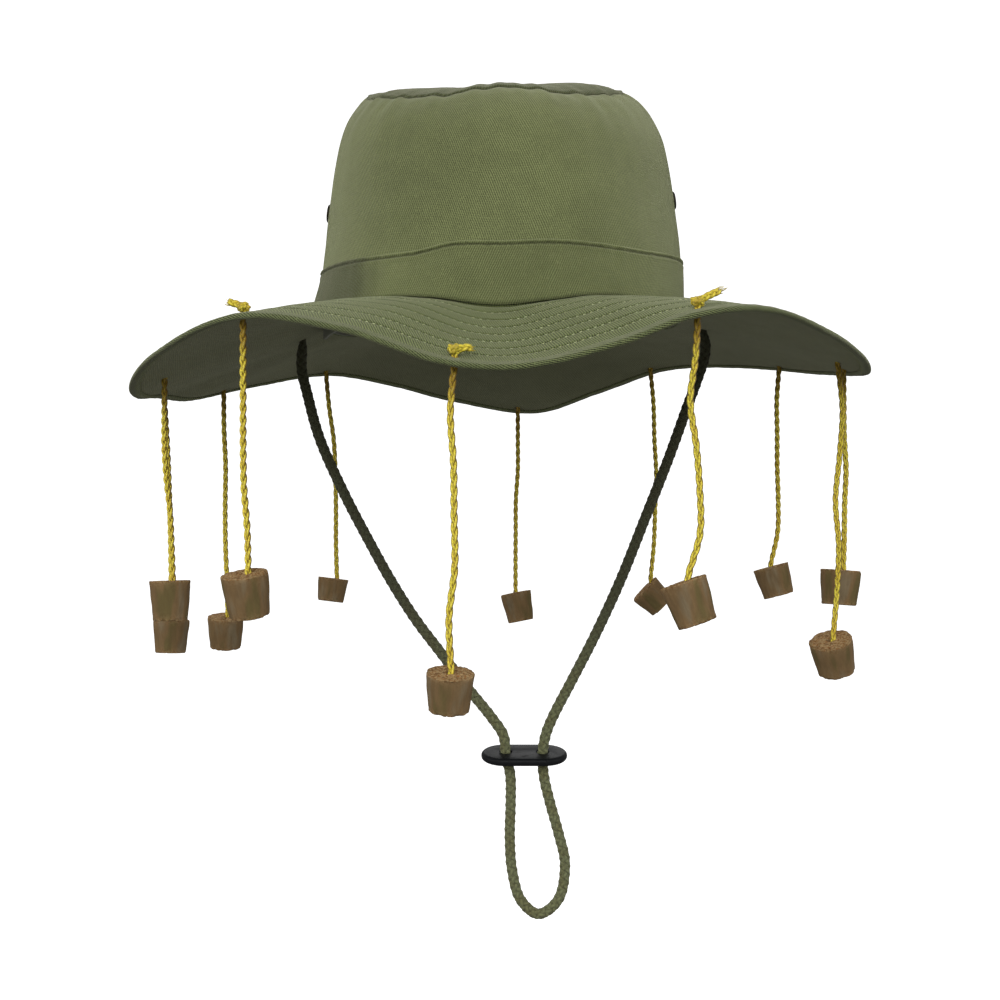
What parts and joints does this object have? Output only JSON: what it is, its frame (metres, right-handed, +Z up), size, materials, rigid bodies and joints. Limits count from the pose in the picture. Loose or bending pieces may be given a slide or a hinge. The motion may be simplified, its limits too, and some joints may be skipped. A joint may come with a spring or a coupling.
{
  "type": "cork hat",
  "caption": "Soft olive bush hat with a waved brim, corks hanging on braided strings from its edge, and a chin cord with a two-hole slider.",
  "frame": {"origin": "centre of the head opening, level with the seam of crown and brim", "axes": "+Z up through the crown, -Y towards the front of the hat, +X towards the wearer's left"},
  "size_m": [0.33, 0.3587, 0.3793],
  "materials": {
    "twill": "matte olive cotton twill",
    "lining": "matte grey-green cotton strip",
    "eyelet_metal": "dark oxidised brass",
    "yellow_yarn": "braided golden yellow yarn",
    "brown_cork": "rough natural cork",
    "green_cord": "braided dark olive cord",
    "black_plastic": "satin black moulded plastic"
  },
  "bodies": {
    "root": {"crown_side": "twill", "crown_tip": "twill", "band": "twill", "sweatband": "lining", "brim": "twill", "brim_binding": "twill", "eyelet_left": "eyelet_metal", "eyelet_right": "eyelet_metal", "chin_cord": "green_cord", "cord_slider": "black_plastic", "knot_01": "yellow_yarn", "knot_02": "yellow_yarn", "knot_03": "yellow_yarn", "knot_04": "yellow_yarn", "knot_05": "yellow_yarn", "knot_06": "yellow_yarn", "knot_07": "yellow_yarn", "knot_08": "yellow_yarn", "knot_09": "yellow_yarn", "knot_10": "yellow_yarn", "knot_11": "yellow_yarn", "knot_12": "yellow_yarn", "string_01": "yellow_yarn", "string_02": "yellow_yarn", "string_03": "yellow_yarn", "string_04": "yellow_yarn", "string_05": "yellow_yarn", "string_06": "yellow_yarn", "string_07": "yellow_yarn", "string_08": "yellow_yarn", "string_09": "yellow_yarn", "string_10": "yellow_yarn", "string_11": "yellow_yarn", "string_12": "yellow_yarn", "cork_01": "brown_cork", "cork_02": "brown_cork", "cork_03": "brown_cork", "cork_04": "brown_cork", "cork_05": "brown_cork", "cork_06": "brown_cork", "cork_07": "brown_cork", "cork_08": "brown_cork", "cork_09": "brown_cork", "cork_10": "brown_cork", "cork_11": "brown_cork", "cork_12": "brown_cork"}
  },
  "joints": []
}
